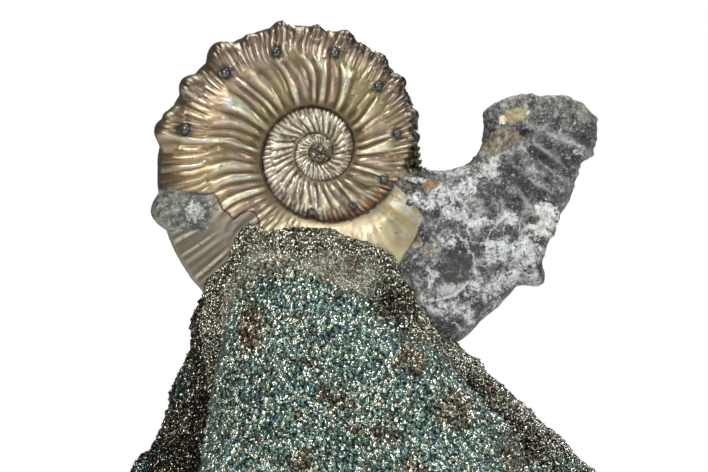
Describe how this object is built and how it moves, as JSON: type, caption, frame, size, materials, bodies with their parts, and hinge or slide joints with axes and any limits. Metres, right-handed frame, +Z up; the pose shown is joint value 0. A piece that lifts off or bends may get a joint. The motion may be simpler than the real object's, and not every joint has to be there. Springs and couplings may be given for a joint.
{
  "type": "pyritized kosmoceras ammonite",
  "caption": "Spiny ribbed ammonite with nacre, standing upright in its pyrite-crusted lump of rock, its living chamber rising free of the coil.",
  "frame": {"origin": "middle of the rock's flat cut underside", "axes": "+Z up, +Y away from the viewer through the coil's axis, +X to the side where the living chamber rises"},
  "size_m": [0.0558, 0.0345, 0.0636],
  "materials": {
    "nacre_and_stone": "bronze nacre on the coil, grey stone on the living chamber",
    "pyrite_crust": "rock crusted with small brassy and blue-green tarnished pyrite crystals"
  },
  "bodies": {
    "root": {"ammonite": "nacre_and_stone", "pyrite_matrix": "pyrite_crust"}
  },
  "joints": []
}
